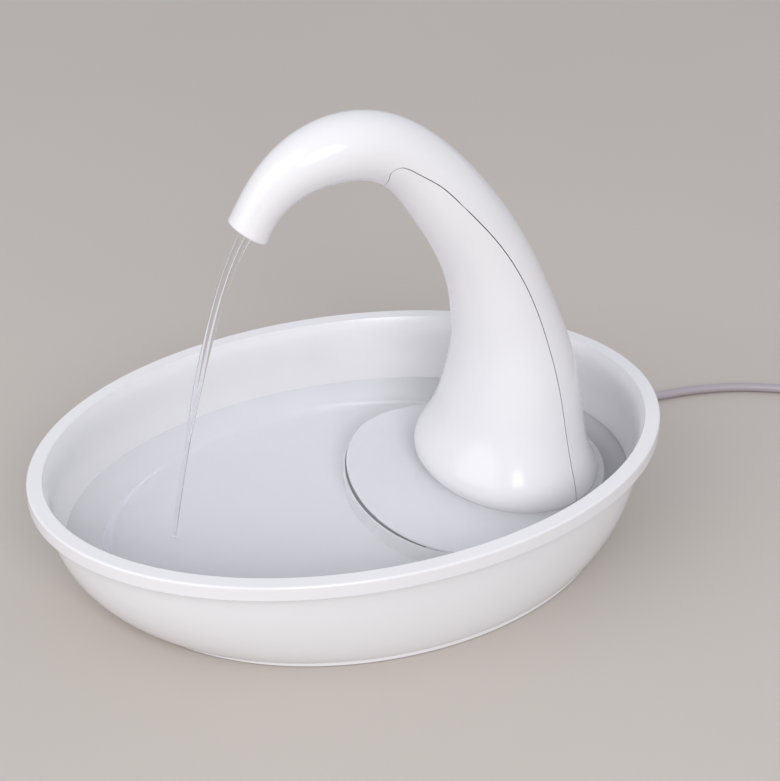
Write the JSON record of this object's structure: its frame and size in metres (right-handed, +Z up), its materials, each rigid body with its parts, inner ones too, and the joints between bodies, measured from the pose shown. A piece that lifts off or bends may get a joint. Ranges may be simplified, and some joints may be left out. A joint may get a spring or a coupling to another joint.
{
  "type": "pet water fountain",
  "caption": "Oval drinking bowl for pets with a pump and filter under a lid and a hollow swan neck that pours a stream of water back into the bowl.",
  "frame": {"origin": "on the floor, under the middle of the bowl's rim", "axes": "+X along the bowl to the end that carries the neck and the cord, +Y to the right seen from the neck's end looking at the spout, +Z up; the spout points to -X"},
  "size_m": [0.6646, 0.2759, 0.2778],
  "materials": {
    "white_plastic": "glossy moulded",
    "foot_rubber": "soft matte",
    "seal_rubber": "soft matte",
    "pump_plastic": "fine moulded grain",
    "impeller_plastic": "smooth moulded",
    "magnet": "sintered, sealed",
    "shaft_steel": "ground",
    "screw_steel": "plain",
    "hose_vinyl": "clear, slightly cloudy",
    "filter_frame": "smooth moulded",
    "carbon": "loose carbon in felt",
    "foam": "open-cell foam",
    "cord_jacket": "smooth satin",
    "plug_plastic": "satin moulded",
    "pin_metal": "plated",
    "tie_plastic": "smooth"
  },
  "bodies": {
    "base": {"bowl": "white_plastic", "rubber_feet": "foot_rubber", "pump_housing": "white_plastic", "pump_body": "pump_plastic", "suction_cups": "seal_rubber", "volute_cover": "pump_plastic", "volute_seal": "seal_rubber", "rotor_shaft": "shaft_steel", "front_bush": "seal_rubber", "rear_bush": "seal_rubber", "intake_strainer": "pump_plastic", "hose_adaptor": "pump_plastic", "cartridge_frame": "filter_frame", "carbon_screens": "filter_frame", "carbon_pad": "carbon", "foam_block": "foam", "cord_grommet": "foot_rubber", "strain_relief": "cord_jacket", "pump_lead": "cord_jacket", "power_cord": "cord_jacket", "cord_coil": "cord_jacket", "cord_tie": "tie_plastic", "plug_body": "plug_plastic", "plug_pins": "pin_metal"},
    "cover": {"lid": "white_plastic", "neck_front_shell": "white_plastic", "neck_screws": "screw_steel"},
    "hood": {"neck_hood": "white_plastic", "delivery_hose": "hose_vinyl", "spout_nozzle": "white_plastic"},
    "rotor": {"impeller": "impeller_plastic", "rotor_magnet": "magnet"},
    "dial": {"flow_dial": "pump_plastic"}
  },
  "joints": [
    {"name": "cover_lift", "type": "slide", "parent": "base", "child": "cover", "axis": [0, 0, 1], "range_m": [0, 0.15]},
    {"name": "hood_lift", "type": "slide", "parent": "cover", "child": "hood", "axis": [0, 0, 1], "range_m": [0, 0.12]},
    {"name": "rotor_spin", "type": "hinge", "parent": "base", "child": "rotor", "pos_m": [0.092, 0, 0.0276], "axis": [1, 0, 0], "continuous": true},
    {"name": "dial_turn", "type": "hinge", "parent": "base", "child": "dial", "pos_m": [0.07, 0, 0.0276], "axis": [1, 0, 0], "range_deg": [0, 30]}
  ]
}
